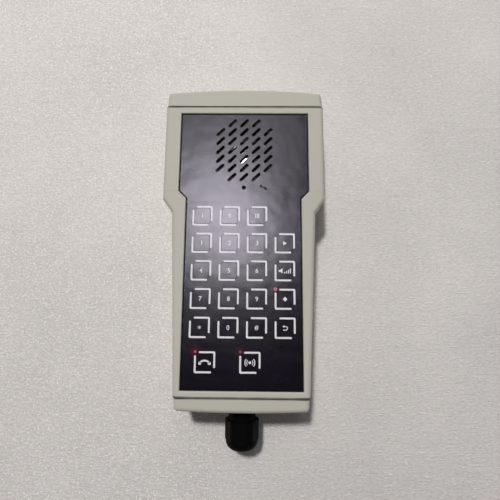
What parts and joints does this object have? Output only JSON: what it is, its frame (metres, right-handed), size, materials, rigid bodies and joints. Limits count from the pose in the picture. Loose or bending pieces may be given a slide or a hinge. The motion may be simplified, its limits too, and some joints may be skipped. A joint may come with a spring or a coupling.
{
  "type": "marine telephone",
  "caption": "Handheld marine telephone with a flared speaker head, square keys on a sealed front panel and a cable gland at the grip end.",
  "frame": {"origin": "middle of the flat back face, halfway along the casing without its gland", "axes": "+X to the right of a person looking at the keypad, +Y towards the speaker end, +Z out of the keypad"},
  "size_m": [0.1154, 0.2545, 0.042],
  "materials": {
    "casing": "pebble grey moulding, fine matt grain",
    "seal_rubber": "black rubber",
    "panel_plate": "plain rolled sheet",
    "foil": "black satin overlay with white print",
    "key_foil": "black satin, embossed",
    "black_plastic": "black moulding",
    "clear_plastic": "clear with a red tint",
    "lamp": "small lamp body",
    "board": "green laminate",
    "brass": "turned",
    "steel": "zinc plated",
    "plated_metal": "pressed and plated",
    "cone": "black film, glossy dust cap",
    "gland_plastic": "black nylon",
    "lead": "insulated wire"
  },
  "bodies": {
    "casing": {"audio_chips": "black_plastic", "board_screws": "steel", "board_spacers": "brass", "bottom_cap_screws": "steel", "bottom_cap_seal": "seal_rubber", "bottom_end_cap": "casing", "cable_terminal": "black_plastic", "capacitors": "plated_metal", "casing_screws": "steel", "casing_seal": "seal_rubber", "clamp_nuts": "steel", "front_foil": "foil", "front_plate": "panel_plate", "front_shell": "casing", "gland_body": "gland_plastic", "gland_locknut": "gland_plastic", "gland_nut": "gland_plastic", "gland_seal": "seal_rubber", "gland_washer": "seal_rubber", "light_pipes": "clear_plastic", "main_board": "board", "microphone": "plated_metal", "microphone_boot": "seal_rubber", "plate_seal": "seal_rubber", "processor": "black_plastic", "rear_shell": "casing", "screw_inserts": "brass", "speaker_basket": "plated_metal", "speaker_clamps": "steel", "speaker_cone": "cone", "speaker_gasket": "seal_rubber", "speaker_leads": "lead", "speaker_magnet": "plated_metal", "status_lamps": "lamp", "switch_bodies": "black_plastic", "top_cap_screws": "steel", "top_cap_seal": "seal_rubber", "top_end_cap": "casing"},
    "key_0": {"key_0": "key_foil"},
    "key_1": {"key_1": "key_foil"},
    "key_2": {"key_2": "key_foil"},
    "key_3": {"key_3": "key_foil"},
    "key_4": {"key_4": "key_foil"},
    "key_5": {"key_5": "key_foil"},
    "key_6": {"key_6": "key_foil"},
    "key_7": {"key_7": "key_foil"},
    "key_8": {"key_8": "key_foil"},
    "key_9": {"key_9": "key_foil"},
    "key_answer": {"key_answer": "key_foil"},
    "key_function": {"key_function": "key_foil"},
    "key_hash": {"key_hash": "key_foil"},
    "key_memory_1": {"key_memory_1": "key_foil"},
    "key_memory_2": {"key_memory_2": "key_foil"},
    "key_memory_3": {"key_memory_3": "key_foil"},
    "key_page": {"key_page": "key_foil"},
    "key_recall": {"key_recall": "key_foil"},
    "key_star": {"key_star": "key_foil"},
    "key_talk": {"key_talk": "key_foil"},
    "key_volume": {"key_volume": "key_foil"}
  },
  "joints": [
    {"name": "press_0", "type": "slide", "parent": "casing", "child": "key_0", "axis": [0, 0, -1], "range_m": [0, 0.0005], "stiffness_N_per_m": 2500, "springref_m": -0.0004},
    {"name": "press_1", "type": "slide", "parent": "casing", "child": "key_1", "axis": [0, 0, -1], "range_m": [0, 0.0005], "stiffness_N_per_m": 2500, "springref_m": -0.0004},
    {"name": "press_2", "type": "slide", "parent": "casing", "child": "key_2", "axis": [0, 0, -1], "range_m": [0, 0.0005], "stiffness_N_per_m": 2500, "springref_m": -0.0004},
    {"name": "press_3", "type": "slide", "parent": "casing", "child": "key_3", "axis": [0, 0, -1], "range_m": [0, 0.0005], "stiffness_N_per_m": 2500, "springref_m": -0.0004},
    {"name": "press_4", "type": "slide", "parent": "casing", "child": "key_4", "axis": [0, 0, -1], "range_m": [0, 0.0005], "stiffness_N_per_m": 2500, "springref_m": -0.0004},
    {"name": "press_5", "type": "slide", "parent": "casing", "child": "key_5", "axis": [0, 0, -1], "range_m": [0, 0.0005], "stiffness_N_per_m": 2500, "springref_m": -0.0004},
    {"name": "press_6", "type": "slide", "parent": "casing", "child": "key_6", "axis": [0, 0, -1], "range_m": [0, 0.0005], "stiffness_N_per_m": 2500, "springref_m": -0.0004},
    {"name": "press_7", "type": "slide", "parent": "casing", "child": "key_7", "axis": [0, 0, -1], "range_m": [0, 0.0005], "stiffness_N_per_m": 2500, "springref_m": -0.0004},
    {"name": "press_8", "type": "slide", "parent": "casing", "child": "key_8", "axis": [0, 0, -1], "range_m": [0, 0.0005], "stiffness_N_per_m": 2500, "springref_m": -0.0004},
    {"name": "press_9", "type": "slide", "parent": "casing", "child": "key_9", "axis": [0, 0, -1], "range_m": [0, 0.0005], "stiffness_N_per_m": 2500, "springref_m": -0.0004},
    {"name": "press_answer", "type": "slide", "parent": "casing", "child": "key_answer", "axis": [0, 0, -1], "range_m": [0, 0.0005], "stiffness_N_per_m": 2500, "springref_m": -0.0004},
    {"name": "press_function", "type": "slide", "parent": "casing", "child": "key_function", "axis": [0, 0, -1], "range_m": [0, 0.0005], "stiffness_N_per_m": 2500, "springref_m": -0.0004},
    {"name": "press_hash", "type": "slide", "parent": "casing", "child": "key_hash", "axis": [0, 0, -1], "range_m": [0, 0.0005], "stiffness_N_per_m": 2500, "springref_m": -0.0004},
    {"name": "press_memory_1", "type": "slide", "parent": "casing", "child": "key_memory_1", "axis": [0, 0, -1], "range_m": [0, 0.0005], "stiffness_N_per_m": 2500, "springref_m": -0.0004},
    {"name": "press_memory_2", "type": "slide", "parent": "casing", "child": "key_memory_2", "axis": [0, 0, -1], "range_m": [0, 0.0005], "stiffness_N_per_m": 2500, "springref_m": -0.0004},
    {"name": "press_memory_3", "type": "slide", "parent": "casing", "child": "key_memory_3", "axis": [0, 0, -1], "range_m": [0, 0.0005], "stiffness_N_per_m": 2500, "springref_m": -0.0004},
    {"name": "press_page", "type": "slide", "parent": "casing", "child": "key_page", "axis": [0, 0, -1], "range_m": [0, 0.0005], "stiffness_N_per_m": 2500, "springref_m": -0.0004},
    {"name": "press_recall", "type": "slide", "parent": "casing", "child": "key_recall", "axis": [0, 0, -1], "range_m": [0, 0.0005], "stiffness_N_per_m": 2500, "springref_m": -0.0004},
    {"name": "press_star", "type": "slide", "parent": "casing", "child": "key_star", "axis": [0, 0, -1], "range_m": [0, 0.0005], "stiffness_N_per_m": 2500, "springref_m": -0.0004},
    {"name": "press_talk", "type": "slide", "parent": "casing", "child": "key_talk", "axis": [0, 0, -1], "range_m": [0, 0.0005], "stiffness_N_per_m": 2500, "springref_m": -0.0004},
    {"name": "press_volume", "type": "slide", "parent": "casing", "child": "key_volume", "axis": [0, 0, -1], "range_m": [0, 0.0005], "stiffness_N_per_m": 2500, "springref_m": -0.0004}
  ]
}
